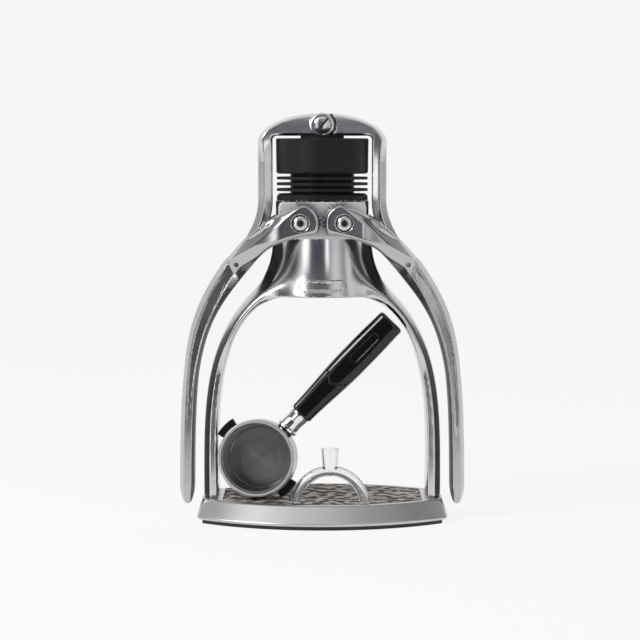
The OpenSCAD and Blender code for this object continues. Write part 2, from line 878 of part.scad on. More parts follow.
module piston_bolt() {
    color(steel)
    translate([0, 0, piston_low])
        difference() {
            union() {
                cylinder(r = bolt_head_r, h = bolt_head_h);
                cylinder(r = bolt_r, h = bolt_l);
            }
            translate([0, 0, -1])
                cylinder(r = 3, h = 3, $fn = 6);
        }
}

// Yoke: two equal halves, turned half a turn to each other, hinged on the top screw

yoke_section = [[0, -0.86], [0.07, -1], [0.55, -1], [0.95, -0.5], [1, -0.36],
    [1, 0.36], [0.95, 0.5], [0.55, 1], [0.07, 1], [0, 0.86]];
tail_path = [[yoke_in + yoke_t / 2, bell_top + 1], [yoke_in + yoke_t / 2, bell_top - tail_run],
    [pin_x - 0.67 * tail_run, pin_z + tail_run], [pin_x, pin_z]];

function crown(a) = [yoke_out * cos(a), crown_z + crown_h * sin(a)];

yoke_rings = concat(
    [for (a = [80, 65, 50]) section_ring(yoke_section, [crown(a)[0], yoke_low], crown(a), yoke_d / 2)],
    [section_ring(yoke_section, [yoke_in - 1.6, yoke_low - 0.5], crown(35), yoke_d / 2),
    section_ring(yoke_section, [yoke_in - 0.2, yoke_low - 2.6], crown(20), yoke_d / 2),
    section_ring(yoke_section, [yoke_in, crown_z - 1], crown(0), yoke_d / 2),
    section_ring(yoke_section, [yoke_in, cup_z + 4], [yoke_out, cup_z + 4], yoke_d / 2)],
    [for (t = [0:0.1:1]) let (c = bez(tail_path, t), n = side(bez_dir(tail_path, t)) * yoke_t / 2)
        section_ring(yoke_section, c - n, c + n, mix(yoke_d / 2, tail_y, ease(t / 0.6)))]);

// Drawn as the right-hand half, with its eye behind the tongue
module yoke_half() {
    difference() {
        union() {
            difference() {
                skin(yoke_rings);
                rod_y(top_x, top_z, eye_r + eye_gap, -yoke_d, yoke_slit);
            }
            rod_y(top_x, top_z, eye_r, yoke_slit, yoke_d / 2 - 0.4);
            slab_y(yoke_slit, yoke_d / 2 - 0.4)
                translate([0, top_z - eye_neck / 2])
                    square([eye_r + eye_gap + 2, eye_neck]);
            rod_y(pin_x, pin_z, tail_r, -tail_y, tail_y);
        }
        rod_y(top_x, top_z, yoke_screw_r + run_gap, -yoke_d, yoke_d);
        rod_y(pin_x, pin_z, cross_pin_r + 0.01, -yoke_d, yoke_d);
    }
}

module yoke_right() {
    color(alu)
    yoke_half();
}

module yoke_left() {
    color(alu)
    rotate(180)
        yoke_half();
}

module yoke_screw() {
    head_r = 6.2;
    head_h = 3;
    face = yoke_d / 2 - 0.2;
    color(steel)
    translate([top_x, -face, top_z])
        rotate([90, 0, 0])
            difference() {
                union() {
                    rotate_extrude()
                        polygon(concat([[0, 0], [head_r, 0], [head_r, 0.8]],
                            [for (a = [20:20:80]) [head_r * cos(a), 0.8 + (head_h - 0.8) * sin(a)]],
                            [[0, head_h]]));
                    translate([0, 0, -2 * face - 5])
                        cylinder(r = yoke_screw_r, h = 2 * face + 5);
                }
                rotate(50)
                    translate([-head_r - 1, -0.8, head_h - 1.7])
                        cube([2 * head_r + 2, 1.6, 3]);
            }
}

module yoke_nut() {
    nut_r = 6.6;
    nut_h = 6.5;
    face = yoke_d / 2 - 0.2;
    color(steel)
    translate([top_x, face, top_z])
        rotate([-90, 0, 0])
            difference() {
                union() {
                    cylinder(r = nut_r, h = 4.5, $fn = 6);
                    translate([0, 0, 4.4])
                        cylinder(r1 = 5.4, r2 = 3.8, h = nut_h - 4.4);
                }
                translate([0, 0, -1])
                    cylinder(r = yoke_screw_r + 0.01, h = 6.1);
            }
}

module cross_pin_right() {
    color(steel)
    rod_y(pin_x, pin_z, cross_pin_r, -cross_pin_half, cross_pin_half);
}

module cross_pin_left() {
    color(steel)
    mirror([1, 0, 0])
        rod_y(pin_x, pin_z, cross_pin_r, -cross_pin_half, cross_pin_half);
}

// Portafilter, drawn with its mouth upwards and the handle along X, then leaned in the arch

module leaned() {
    translate([pf_x, pf_y, pf_z])
        rotate([-pf_tilt, 0, -pf_turn])
            rotate([0, -pf_lean, 0])
                rotate([90, 0, 0])
                    children();
}

// A round bar along X at the handle's height
module rod_x(r, x0, x1) {
    translate([x0, 0, -pf_axis])
        rotate([0, 90, 0])
            cylinder(r = r, h = x1 - x0);
}

module portafilter_bowl() {
    color(steel)
    leaned()
        difference() {
            union() {
                rotate_extrude()
                    polygon([[0, -pf_h - 5], [7, -pf_h - 5], [8, -pf_h - 4], [8, -pf_h],
                        [pf_r - 6, -pf_h], [pf_r - 1.5, -pf_h + 6], [pf_r, -pf_h + pf_shoulder],
                        [pf_r, -0.8], [pf_r - 0.8, 0], [0, 0]]);
                for (a = [90, 270])
                    rotate(a)
                        translate([0, 0, -8.5])
                            intersection() {
                                sector(lug_r, notch_half - 2.5, lug_h);
                                cylinder(r = lug_r, h = lug_h);
                            }
                rod_x(6.2, pf_r - 3, ferrule_x - 0.1);
            }
            rotate_extrude()
                polygon([[0, 1], [basket_r + 0.15, 1], [basket_r + 0.15, -basket_t - 0.6],
                    [pf_r - pf_wall, -basket_t - 0.6], [pf_r - pf_wall, -pf_h + 11],
                    [pf_r - pf_wall - 1.6, -pf_h + 6.5], [pf_r - 8.5, -pf_h + 3], [0, -pf_h + 3]]);
            translate([0, 0, -pf_h - 6])
                cylinder(r = 3.5, h = 12);
            translate([0, 0, -12])
                rotate_extrude()
                    translate([pf_r - pf_wall, 0])
                        circle(r = spring_r + 0.1);
            rod_x(stud_r + 0.02, pf_r - pf_wall - 1, ferrule_x + 1);
        }
}

module filter_basket() {
    color([0.72, 0.73, 0.74])
    leaned()
        rotate_extrude()
            polygon([[0, -basket_h], [basket_wall_r - 2.5, -basket_h], [basket_wall_r - 1.4, -basket_h + 1.1],
                [basket_wall_r, -basket_t - 0.5], [basket_r, -basket_t - 0.5], [basket_r, 0.2],
                [basket_wall_r - basket_t, 0.2], [basket_wall_r - basket_t - 1.4, -basket_h + 1.4],
                [basket_wall_r - 2.9, -basket_h + basket_t], [0, -basket_h + basket_t]]);
}

module basket_spring() {
    color(steel)
    leaned()
        translate([0, 0, -12])
            rotate_extrude()
                translate([pf_r - pf_wall - 0.05, 0])
                    circle(r = spring_r);
}

module handle_ferrule() {
    color(steel)
    leaned()
        difference() {
            translate([ferrule_x, 0, -pf_axis])
                rotate([0, 90, 0])
                    rotate_extrude()
                        polygon([[0, 0], [7.4, 0], [8, 0.6], [8, 2.2], [7.2, 3], [6.8, ferrule_l * 0.55],
                            [7.4, ferrule_l - 1.2], [7.4, ferrule_l], [0, ferrule_l]]);
            rod_x(stud_r + 0.02, ferrule_x - 1, grip_x + 1);
        }
}

grip_l = pf_reach - grip_x;
grip_root_w = 8.4;
grip_root_h = 8;
grip_swell = 2.3;
grip_taper = 0.6;
grip_slot_at = 0.57;
grip_slot_l = 26;
grip_slot_w = 5.5;
grip_slot_t = 1;
grip_corner = 0.7;

function grip_half_w(f) = grip_root_w + grip_swell * ease(f / 0.55) - grip_taper * ease((f - 0.7) / 0.3);
function grip_half_h(f) = grip_root_h + 0.6 * grip_swell * ease(f / 0.55) - grip_taper * ease((f - 0.7) / 0.3);
function rounded(v) = sign(v) * pow(abs(v), grip_corner);
function grip_end(f) = f > 0.96 ? sqrt(1 - pow((f - 0.96) / 0.055, 2)) : 1;

grip_rings = [for (f = [0, 0.12, 0.26, 0.4, 0.55, 0.7, 0.84, 0.96, 0.98, 0.993, 1])
    [for (a = [9:18:351])
        [grip_x + 0.1 + f * (grip_l - 0.1), rounded(cos(a)) * grip_half_w(f) * grip_end(f),
            -pf_axis + rounded(sin(a)) * grip_half_h(f) * grip_end(f)]]];

module handle_grip() {
    color(black)
    leaned()
        difference() {
            skin(grip_rings);
            rod_x(stud_r + 0.02, grip_x - 1, grip_x + stud_in_grip + 1);
            translate([grip_x + grip_slot_at * grip_l, -grip_slot_w / 2,
                -pf_axis + grip_half_h(grip_slot_at) - grip_slot_t])
                cube([grip_slot_l, grip_slot_w, grip_slot_w]);
        }
}

module handle_stud() {
    color(steel)
    leaned()
        rod_x(stud_r, pf_r - pf_wall + 0.6, grip_x + stud_in_grip);
}

// Clear twin spout: a hollow arch with a tapered socket on top

socket_wall = 1.5;
spout_mid_r = spout_r - spout_tube_r;
spout_bore_r = spout_tube_r - socket_wall;
spout_sink = 2;
socket_h = 12;
socket_foot_r = 5.3;
socket_mouth_r = 6.5;

module twin_spout() {
    color([0.85, 0.9, 0.92, 0.5])
    translate([spout_x, spout_y, mat_top + slide_gap])
        difference() {
            union() {
                translate([0, 0, -spout_sink])
                    rotate([90, 0, 0])
                        rotate_extrude(angle = 180)
                            translate([spout_mid_r, 0])
                                circle(r = spout_tube_r);
                translate([0, 0, spout_mid_r - spout_sink])
                    cylinder(r1 = socket_foot_r, r2 = socket_mouth_r, h = spout_tube_r + socket_h);
            }
            translate([0, 0, -spout_sink])
                rotate([90, 0, 0])
                    rotate_extrude(angle = 180)
                        translate([spout_mid_r, 0])
                            circle(r = spout_bore_r);
            translate([0, 0, spout_mid_r - spout_sink])
                cylinder(r1 = socket_foot_r - socket_wall, r2 = socket_mouth_r - socket_wall,
                    h = spout_tube_r + socket_h + 1);
            translate([-spout_r - 5, -spout_r, -10])
                cube([2 * spout_r + 10, 2 * spout_r, 10]);
        }
}

base_plate();
base_mat();
base_sole();
base_screws();
frame_casting();
pivot_screws();
pivot_washers();
pressure_chamber();
chamber_ring();
group_ring();
group_screws();
group_gasket();
shower_screen();
screen_screw();
lever_left();
lever_right();
bushes_left();
bushes_right();
plunger();
piston_head();
piston_seal();
piston_bolt();
yoke_screw();
yoke_nut();
yoke_left();
yoke_right();
cross_pin_left();
cross_pin_right();
portafilter_bowl();
filter_basket();
basket_spring();
handle_ferrule();
handle_grip();
handle_stud();
twin_spout();
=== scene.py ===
import math

import bpy
import numpy as np
from mathutils import Matrix, Vector


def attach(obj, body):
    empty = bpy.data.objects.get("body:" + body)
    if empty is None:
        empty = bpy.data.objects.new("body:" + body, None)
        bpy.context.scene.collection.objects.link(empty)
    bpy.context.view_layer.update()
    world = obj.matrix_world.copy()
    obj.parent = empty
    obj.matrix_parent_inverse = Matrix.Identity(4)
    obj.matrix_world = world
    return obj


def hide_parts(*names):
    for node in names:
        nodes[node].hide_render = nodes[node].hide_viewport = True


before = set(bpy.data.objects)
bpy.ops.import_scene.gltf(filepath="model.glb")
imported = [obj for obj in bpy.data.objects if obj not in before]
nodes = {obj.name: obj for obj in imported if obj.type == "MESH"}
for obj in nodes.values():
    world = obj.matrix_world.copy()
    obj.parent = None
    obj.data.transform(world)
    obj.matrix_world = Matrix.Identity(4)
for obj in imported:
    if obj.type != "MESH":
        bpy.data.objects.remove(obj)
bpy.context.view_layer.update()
scene = bpy.context.scene
scene.view_settings.view_transform = "Standard"


# Camera. A long lens a little above the bell looks slightly down on the machine from
# straight in front, as the photograph does, with the machine's foot low in the frame.
camera = bpy.data.objects.new("camera", bpy.data.cameras.new("camera"))
scene.collection.objects.link(camera)
camera.data.sensor_width = 36
camera.data.lens = 129.2
camera_place = Vector((-0.0016, -1.65, 0.2675))
camera_aim = Vector((-0.0016, 0, 0.143))
camera.location = camera_place
camera.rotation_euler = (camera_aim - camera_place).to_track_quat("-Z", "Y").to_euler()
camera.data.clip_end = 50
scene.camera = camera


# Studio. A pale sweep under and behind the machine, broad soft boxes left, right and above,
# and dark cards in front and beside it, which the polished castings show as dark bands.
class Level:
    """A value in a finish. Sums and products of levels add Math nodes to its tree."""

    def __init__(self, tree, socket):
        self.tree, self.socket = tree, socket

    def node(self, kind, settings=None, sockets=None, out=0):
        n = self.tree.nodes.new(kind)
        for key, value in (settings or {}).items():
            setattr(n, key, value)
        for key, value in (sockets or {}).items():
            if isinstance(value, Level):
                self.tree.links.new(value.socket, n.inputs[key])
            else:
                n.inputs[key].default_value = value
        return Level(self.tree, n.outputs[out])

    def sum(self, operation, a, b=0.0):
        return self.node("ShaderNodeMath", {"operation": operation}, {0: a, 1: b})

    def __add__(self, other):
        return self.sum("ADD", self, other)

    def __radd__(self, other):
        return self.sum("ADD", other, self)

    def __sub__(self, other):
        return self.sum("SUBTRACT", self, other)

    def __rsub__(self, other):
        return self.sum("SUBTRACT", other, self)

    def __mul__(self, other):
        return self.sum("MULTIPLY", self, other)

    def __rmul__(self, other):
        return self.sum("MULTIPLY", other, self)

    def __pow__(self, other):
        return self.sum("POWER", self, other)

    def clipped(self):
        return self.node(
            "ShaderNodeMath", {"operation": "ADD", "use_clamp": True}, {0: self, 1: 0.0})

    def part(self, out):
        return Level(self.tree, self.socket.node.outputs[out])

    def split(self):
        return self.node("ShaderNodeSeparateXYZ", {}, {0: self})

    def mix(self, dark, light):
        return self.node(
            "ShaderNodeMix", {"data_type": "RGBA"}, {0: self, 6: dark, 7: light}, out=2
        )


def grey(v, warm=0.0):
    return (v * (1 + warm), v, v * (1 - warm), 1)


def panel(name, centre, width, height, colour, strength, soft):
    """A flat card or soft box that faces the machine and fades out towards its edges."""
    mesh = bpy.data.meshes.new(name)
    back = (Vector((0, 0, 0.15)) - Vector(centre)).normalized()
    across = Vector((0, 0, 1)).cross(back).normalized()
    up = back.cross(across)
    corners = [(0, 0), (1, 0), (1, 1), (0, 1)]
    centre = Vector(centre)
    mesh.from_pydata(
        [centre + across * ((a - 0.5) * width) + up * ((b - 0.5) * height) for a, b in corners],
        [], [(0, 1, 2, 3)])
    card = mesh.uv_layers.new(name="card")
    for k, corner in enumerate(corners):
        card.data[k].uv = corner
    obj = bpy.data.objects.new(name, mesh)
    scene.collection.objects.link(obj)
    finish = bpy.data.materials.new(name)
    finish.use_nodes = True
    tree = finish.node_tree
    tree.nodes.clear()
    spot = Level(tree, None).node("ShaderNodeUVMap", {"uv_map": "card"}).split()
    a, b = spot.part(0), spot.part(1)
    cover = ((4 * a * (1 - a)) ** soft[0] * (4 * b * (1 - b)) ** soft[1]).clipped()
    glow = spot.node("ShaderNodeEmission", {}, {"Color": colour, "Strength": strength})
    clear = spot.node("ShaderNodeBsdfTransparent")
    tree.links.new(
        spot.node("ShaderNodeMixShader", {}, {0: cover, 1: clear, 2: glow}).socket,
        tree.nodes.new("ShaderNodeOutputMaterial").inputs[0])
    mesh.materials.append(finish)
    obj.visible_camera = False
    obj.visible_shadow = False


world = bpy.data.worlds.new("studio")
scene.world = world
world.use_nodes = True
tree = world.node_tree
tree.nodes.clear()
room = Level(tree, None).node(
    "ShaderNodeBackground", {}, {"Color": (0.97, 0.985, 1.0, 1), "Strength": 0.40})
tree.links.new(room.socket, tree.nodes.new("ShaderNodeOutputWorld").inputs[0])

panel("dark_wall", (0, -2.9, 0.40), 5.0, 3.2, (0.075, 0.086, 0.106, 1), 1.0, (0.2, 0.25))
panel("strip_left", (-1.51, -1.74, 0.20), 1.05, 1.7, (1, 1, 1, 1), 1.9, (1.1, 0.6))
panel("strip_right", (0.50, -2.35, 0.25), 0.46, 1.8, (0.97, 0.985, 1, 1), 2.0, (1.2, 0.6))
panel("fill_right", (1.25, -2.0, 0.90), 1.35, 3.2, (1, 0.99, 0.98, 1), 0.85, (0.7, 0.4))
panel("box_right", (2.0, -0.9, 0.90), 0.8, 3.2, (1, 0.985, 0.97, 1), 0.9, (1.0, 0.4))
panel("dark_left", (-1.94, -0.50, 0.70), 1.15, 3.2, (0.08, 0.085, 0.095, 1), 1.0, (0.25, 0.3))
panel("dark_right", (1.98, -0.20, 1.10), 0.7, 2.6, (0.06, 0.065, 0.075, 1), 1.0, (0.25, 0.3))
panel("box_top", (-0.35, -0.7, 2.0), 2.6, 1.2, (1, 1, 1, 1), 0.95, (0.8, 0.7))
panel("high_light", (-1.32, -0.92, 1.28), 1.0, 0.75, (1, 1, 1, 1), 16.0, (0.7, 0.6))

floor_front, floor_back, floor_half, bend, wall_top = -0.46, 1.6, 5, 1.2, 5.0
sweep_line = [(floor_front, 0.0), (floor_back, 0.0)]
for angle in np.radians(np.arange(6, 91, 6)):
    sweep_line += [(floor_back + bend * math.sin(angle), bend - bend * math.cos(angle))]
sweep_line += [(floor_back + bend, wall_top)]
floor_mesh = bpy.data.meshes.new("sweep")
floor_mesh.from_pydata(
    [(x, y, z) for y, z in sweep_line for x in (-floor_half, floor_half)], [],
    [(2 * k, 2 * k + 1, 2 * k + 3, 2 * k + 2) for k in range(len(sweep_line) - 1)])
floor_mesh.polygons.foreach_set("use_smooth", [True] * len(floor_mesh.polygons))
floor = bpy.data.objects.new("sweep", floor_mesh)
scene.collection.objects.link(floor)
sweep = bpy.data.materials.new("sweep")
sweep.use_nodes = True
tree = sweep.node_tree
tree.nodes.clear()
ray = Level(tree, None).node("ShaderNodeLightPath")
seen = ray.part("Is Camera Ray") + ray.part("Is Glossy Ray") + ray.part("Is Transmission Ray")
seen = seen.clipped()
paper = ray.node("ShaderNodeBsdfDiffuse", {}, {"Color": (0.90, 0.895, 0.885, 1)})
glow = ray.node("ShaderNodeEmission", {}, {"Color": (0.995, 0.985, 0.97, 1), "Strength": 1.0})
tree.links.new(
    ray.node("ShaderNodeMixShader", {}, {0: 0.36 + 0.50 * seen, 1: paper, 2: glow}).socket,
    tree.nodes.new("ShaderNodeOutputMaterial").inputs[0])
floor_mesh.materials.append(sweep)


# Base. A flat casting with a bowed, sloping front and back and softened corners, polished
# like the frame above it, with a shallow recess in its top for the mat.
def smooth_max(*parts, k=0.8):
    out = parts[0]
    for part in parts[1:]:
        h = np.clip(0.5 + 0.5 * (out - part) / k, 0, 1)
        out = part + (out - part) * h + k * h * (1 - h)
    return out


def smooth_min(*parts, k=0.8):
    return -smooth_max(*[-part for part in parts], k=k)


def skin_of(field, low, high, step):
    """Points, faces and normals of the surface where a casting's field is zero, in mm."""
    axes = [np.arange(a - 1.5 * step, b + 2.5 * step, step) for a, b in zip(low, high)]
    x, y, z = axes[0][:, None, None], axes[1][None, :, None], axes[2][None, None, :]
    f = np.broadcast_to(field(x, y, z), [len(a) for a in axes]).astype(np.float32)
    solid = f < 0
    corners = [(i, j, k) for i in (0, 1) for j in (0, 1) for k in (0, 1)]

    def cut(a, c):
        return a[c[0]:a.shape[0] - 1 + c[0], c[1]:a.shape[1] - 1 + c[1], c[2]:a.shape[2] - 1 + c[2]]

    count = sum(cut(solid, c).astype(np.int8) for c in corners)
    cells = np.argwhere((count > 0) & (count < 8))
    number = np.full(count.shape, -1, np.int64)
    number[tuple(cells.T)] = np.arange(len(cells))
    at = np.zeros((len(cells), 3))
    hits = np.zeros(len(cells))
    for a in corners:
        for axis in range(3):
            if a[axis]:
                continue
            b = list(a)
            b[axis] = 1
            fa = f[tuple((cells + a).T)]
            fb = f[tuple((cells + b).T)]
            crossed = (fa < 0) != (fb < 0)
            t = np.where(crossed, fa / np.where(crossed, fa - fb, 1), 0)
            place = np.array(a) + t[:, None] * (np.array(b) - np.array(a))
            at += place * crossed[:, None]
            hits += crossed
    points = (cells + at / hits[:, None]) * step + [a[0] for a in axes]
    faces = []
    for axis in range(3):
        u, v = (axis + 1) % 3, (axis + 2) % 3
        first = [slice(None)] * 3
        second = [slice(None)] * 3
        first[axis], second[axis] = slice(0, -1), slice(1, None)
        a, b = solid[tuple(first)], solid[tuple(second)]
        edges = np.argwhere(a != b)
        inside = (edges[:, u] > 0) & (edges[:, v] > 0)
        inside &= (edges[:, u] < count.shape[u]) & (edges[:, v] < count.shape[v])
        edges = edges[inside]
        ring = []
        for du, dv in ((-1, -1), (0, -1), (0, 0), (-1, 0)):
            c = edges.copy()
            c[:, u] += du
            c[:, v] += dv
            ring.append(number[tuple(c.T)])
        ring = np.stack(ring, 1)
        outward = a[tuple(edges.T)]
        faces.append(np.where(outward[:, None], ring, ring[:, ::-1]))
    faces = np.concatenate(faces)

    def slope(p):
        e = 0.05
        here = field(p[:, 0], p[:, 1], p[:, 2])
        grad = [(field(*(p + e * np.eye(3)[k]).T) - here) / e for k in range(3)]
        return here, np.stack(np.broadcast_arrays(*grad), 1)

    for _ in range(2):
        here, grad = slope(points)
        move = (here / np.maximum((grad ** 2).sum(1), 0.2))[:, None] * grad
        points = points - np.clip(move, -0.45 * step, 0.45 * step)
    normals = slope(points)[1]
    normals /= np.maximum(np.linalg.norm(normals, axis=1), 1e-6)[:, None]
    return points, faces, normals


def cast_piece(name, points, faces, normals, finish):
    mesh = bpy.data.meshes.new(name)
    mesh.vertices.add(len(points))
    mesh.vertices.foreach_set("co", (points / 1000).astype(np.float32).ravel())
    mesh.loops.add(faces.size)
    mesh.loops.foreach_set("vertex_index", faces.astype(np.int32).ravel())
    mesh.polygons.add(len(faces))
    mesh.polygons.foreach_set("loop_start", np.arange(0, faces.size, 4, dtype=np.int32))
    mesh.update(calc_edges=True)
    mesh.polygons.foreach_set("use_smooth", np.ones(len(faces), bool))
    mesh.normals_split_custom_set_from_vertices(normals.tolist())
    mesh.materials.append(finish)
    obj = bpy.data.objects.new(name, mesh)
    scene.collection.objects.link(obj)
    return obj


def finish_named(name):
    """A new finish: its shader and the place on the piece, in metres."""
    finish = bpy.data.materials.new(name)
    finish.use_nodes = True
    tree = finish.node_tree
    shader = tree.nodes["Principled BSDF"]
    place = Level(tree, None).node("ShaderNodeTexCoord", {}, {}, out=3)
    return finish, shader, place


def feed(shader, socket, level):
    level.tree.links.new(level.socket, shader.inputs[socket])


def grain(place, scale, detail=3.0, rough=0.55):
    return place.node(
        "ShaderNodeTexNoise", {},
        {"Vector": place, "Scale": scale, "Detail": detail, "Roughness": rough})


def raised(place, height, strength, distance):
    return place.node(
        "ShaderNodeBump", {}, {"Strength": strength, "Distance": distance, "Height": height})


def polished(name, tone, rough, wave, dull=None, painted_shade=None):
    """Cast aluminium, ground and buffed: a slow waviness and a fine buffing haze. It is a pale even
    satin where it is dull. Where the shade zone given to it marks it, its colour is painted dark as
    shade and it is made rougher."""
    finish, shader, place = finish_named(name)
    shader.inputs["Metallic"].default_value = 1.0
    haze = grain(place, 260.0, 4.0)
    cloud = grain(place, 38.0, 2.0)
    sheen = (0.35 * haze + 0.65 * cloud).mix(
        (tone * 0.96, tone * 0.945, tone * 0.95, 1),
        (tone * 1.06, tone * 1.045, tone * 1.045, 1))
    gloss = rough + 0.10 * (haze - 0.5) + 0.06 * (cloud - 0.5)
    if dull:
        zone = dull(place)
        sheen = zone.mix(sheen, haze.mix(grey(0.74, 0.01), grey(0.82, 0.01)))
        gloss = gloss + zone * 0.36
    # Painted shade: the zone darkens the colour where faces lie in shadow between parts, and also
    # roughens them.
    if painted_shade:
        zone = painted_shade(place)
        sheen = zone.mix(sheen, haze.mix(grey(0.035), grey(0.075, 0.02)))
        gloss = gloss + zone * 0.30
    feed(shader, "Base Color", sheen)
    feed(shader, "Roughness", gloss)
    swell = grain(place, 55.0, 1.0)
    feed(shader, "Normal", raised(place, swell + 0.05 * haze, wave, 0.002))
    return finish


def ease(v):
    c = np.clip(v, 0, 1)
    return c * c * (3 - 2 * c)


def mix(a, b, f):
    return a + (b - a) * f


base_metal = polished("base_metal", 0.58, 0.33, 0.03)


base_half, base_deep, base_foot, base_rim, base_top = 89.4, 65, 2.5, 4.5, 16.5
bow_centre, bow_radius, corner_radius = 69, 134, 97.4
slope_rise, front_run, end_run = 12, 10, 3.6
recess_margin, recess_half, recess_floor = 14, 70.9, 14.5
slant = 0.7071


def base_field(x, y, z):
    def sloped(out, run):
        low, steep = z - base_rim, math.hypot(slope_rise, run)
        return smooth_max((out * slope_rise + low * run) / steep, (out - low) * slant, k=0.9)

    front = np.hypot(x, y - bow_centre) - bow_radius
    rear = np.hypot(x, y + bow_centre) - bow_radius
    body = smooth_max(
        sloped(front, front_run), sloped(rear, front_run), sloped(np.abs(x) - base_half, end_run),
        sloped(np.hypot(x, y) - corner_radius, front_run), k=2.0)
    body = smooth_max(body, z - base_top, base_foot - z, k=1.0)
    recess = smooth_max(
        np.maximum(front, rear) + recess_margin, np.abs(x) - recess_half, k=1.5)
    return np.maximum(body, -np.maximum(recess, recess_floor - z))


base_skin = skin_of(
    base_field, (-base_half, -base_deep, base_foot), (base_half, base_deep, base_top), 0.85)
base = cast_piece("base_casting", *base_skin, base_metal)
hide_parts("base_plate")
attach(base, "frame")


# Frame casting. A trumpet-shaped bell on two bowed legs, one casting, buffed bright, with
# flat pads for the pivots and a bare raised badge field; it is screwed to the base from below.
def bez(p, t):
    p = np.asarray(p, float)
    t = np.asarray(t, float)[..., None]
    r = 1 - t
    return r ** 3 * p[0] + 3 * r ** 2 * t * p[1] + 3 * r * t ** 2 * p[2] + t ** 3 * p[3]


def beside(points, marks, x, z):
    """For each place: the mark of the nearest point of a line, and how far it lies to the left."""
    best = np.full(np.broadcast_shapes(np.shape(x), np.shape(z)), 1e12)
    mark = np.zeros_like(best)
    hand = np.ones_like(best)
    for a, b, m, n in zip(points[:-1], points[1:], marks[:-1], marks[1:]):
        d = b - a
        t = np.clip(((x - a[0]) * d[0] + (z - a[1]) * d[1]) / (d @ d), 0, 1)
        ex = x - a[0] - t * d[0]
        ez = z - a[1] - t * d[1]
        far = ex * ex + ez * ez
        near = far < best
        best = np.where(near, far, best)
        mark = np.where(near, m + t * (n - m), mark)
        hand = np.where(near, np.sign(d[0] * ez - d[1] * ex), hand)
    return mark, np.sqrt(best) * hand


leg_out, leg_in, leg_knee = 85.4, 73.9, (50.2, 163.7)
shoulder, bell_mouth, bell_top = 198.5, 161, 229.7
leg_outside = np.concatenate([
    [(33.0, 242.0)],
    bez([(33, 198.7), (34.5, 182.5), (42, 173), leg_knee], np.linspace(0, 0.96, 14)),
    bez([leg_knee, (87.3, 126.6), (leg_out, 76.5), (leg_out, base_top)], np.linspace(0, 1, 30)),
    [(leg_out, 0)]])
leg_inside = np.concatenate([
    [(-5, bell_mouth)],
    bez([(30, bell_mouth), (82, 146.25), (leg_in, 52.5), (leg_in, base_top)],
        np.linspace(0, 1, 36)),
    [(leg_in, 0)]])
pad_deep, pad_middle, pad_corner = 35.8, 215.95, 4
badge_half, badge_middle, badge_radius = 12.5, 169.5, 4
group_radius, group_deep, spigot_radius = 34.7, 175, 25.75


def bell_radius(z):
    t = np.linspace(0, 1, 40)
    line = bez([(40, 161.8), (37.4, 172), (33.4, 183), (33.4, 199)], t)
    return np.interp(z, line[:, 1], line[:, 0])


def frame_field(x, y, z):
    ax, ay, r = np.abs(x), np.abs(y), np.hypot(x, y)
    outer = beside(leg_outside, np.arange(len(leg_outside)), ax, z)[1]
    inner = -beside(leg_inside, np.arange(len(leg_inside)), ax, z)[1]
    wide = np.maximum(-outer - inner, 1.0)
    u = np.clip(-inner / wide, 0, 1)
    low = mix(17.0, 15.5, ease((z - base_top) / 60))
    half = np.where(
        z < shoulder - 35, mix(low, 25.0, ease((z - 102.5) / 60)),
        8 + 17 * np.sqrt(np.clip((shoulder - z) / 35, 0, 1)))
    facet = ease((152.5 - z) / 40)
    face = smooth_max(
        ay - half,
        ((ay - half) * wide * 0.40 + (u - mix(0.45, 0.58, facet)) * wide * half * 0.62)
        / np.hypot(wide * 0.40, half * 0.62),
        ((ay - half) * wide * 0.16 + (mix(0.22, 0.15, facet) - u) * wide * half * 0.24)
        / np.hypot(wide * 0.16, half * 0.24), k=mix(6.0, 0.9, facet))
    legs = smooth_max(outer, inner, face, z - shoulder, base_top - z, k=1.2)
    bell = smooth_max(r - bell_radius(z), z - bell_top, bell_mouth - z, k=1.6)
    body = smooth_min(bell, legs, k=9.0)
    body = smooth_max(body, bell_mouth - z - 200 * ease((ax - 26) / 10), k=0.8)
    body = smooth_max(body, inner, k=0.8)
    across, up = np.maximum(ax - 27, 0), np.maximum(np.abs(z - pad_middle) - 8.95, 0)
    pad = smooth_max(np.hypot(across, up) - pad_corner, ay - pad_deep, 20 - ay, k=0.9)
    body = np.minimum(body, pad)
    badge = np.hypot(np.maximum(ax - badge_half, 0), z - badge_middle) - badge_radius
    proud = 0.75 - 0.4 * ease((-1.1 - badge) / 0.5)
    field = smooth_max(badge, r - bell_radius(z) - proud, y + 30, k=0.4)
    body = np.minimum(body, field)
    hollow = np.minimum(
        np.maximum(r - group_radius, z - group_deep), np.maximum(r - spigot_radius, z - 242))
    return smooth_max(body, -hollow, k=0.8)


def pad_zone(place):
    """The flat faces of the pads."""
    spot = place.split()
    deep = spot.sum("ABSOLUTE", spot.part(1))
    return ((deep - 0.0353) * 5000).clipped() * ((spot.part(2) - 0.2015) * 2000).clipped()


frame_metal = polished("frame_metal", 0.64, 0.17, 0.05, pad_zone)
casting = cast_piece(
    "arched_frame", *skin_of(frame_field, (-86, -42, base_top), (86, 42, bell_top), 0.95), frame_metal)
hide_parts("frame_casting")
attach(casting, "frame")


# Levers. Each is a wishbone casting that straddles the bell on two end plates, closes under
# the cross pin and runs down as one handle, with a long pointed flute in its front and back.
pivot = np.array((15.4, 214.0))
pin = np.array((61.0024, 183.7018))
link = np.array((45.6024, 30.2982))
lever_foot, plate_deep, fork_gap, head_radius = 10, 46.0, 36.8, 5.9
rim_front, rim_back = 36.5, 40.5
limb_steps, handle_steps = np.linspace(0, 1, 80), np.linspace(0, 1, 120)
limb_line = bez(
    [(pivot[0], 215), pivot + link * (0.583, -0.2), pivot + link * (0.79, -0.65), pin], limb_steps)
handle_line = bez([pin, (93.3, 142.2), (97.4, 122.7), (97.4, lever_foot)], handle_steps)
lever_line = np.concatenate([limb_line, handle_line[1:]])
lever_marks = np.concatenate([limb_steps, 1 + handle_steps[1:]])


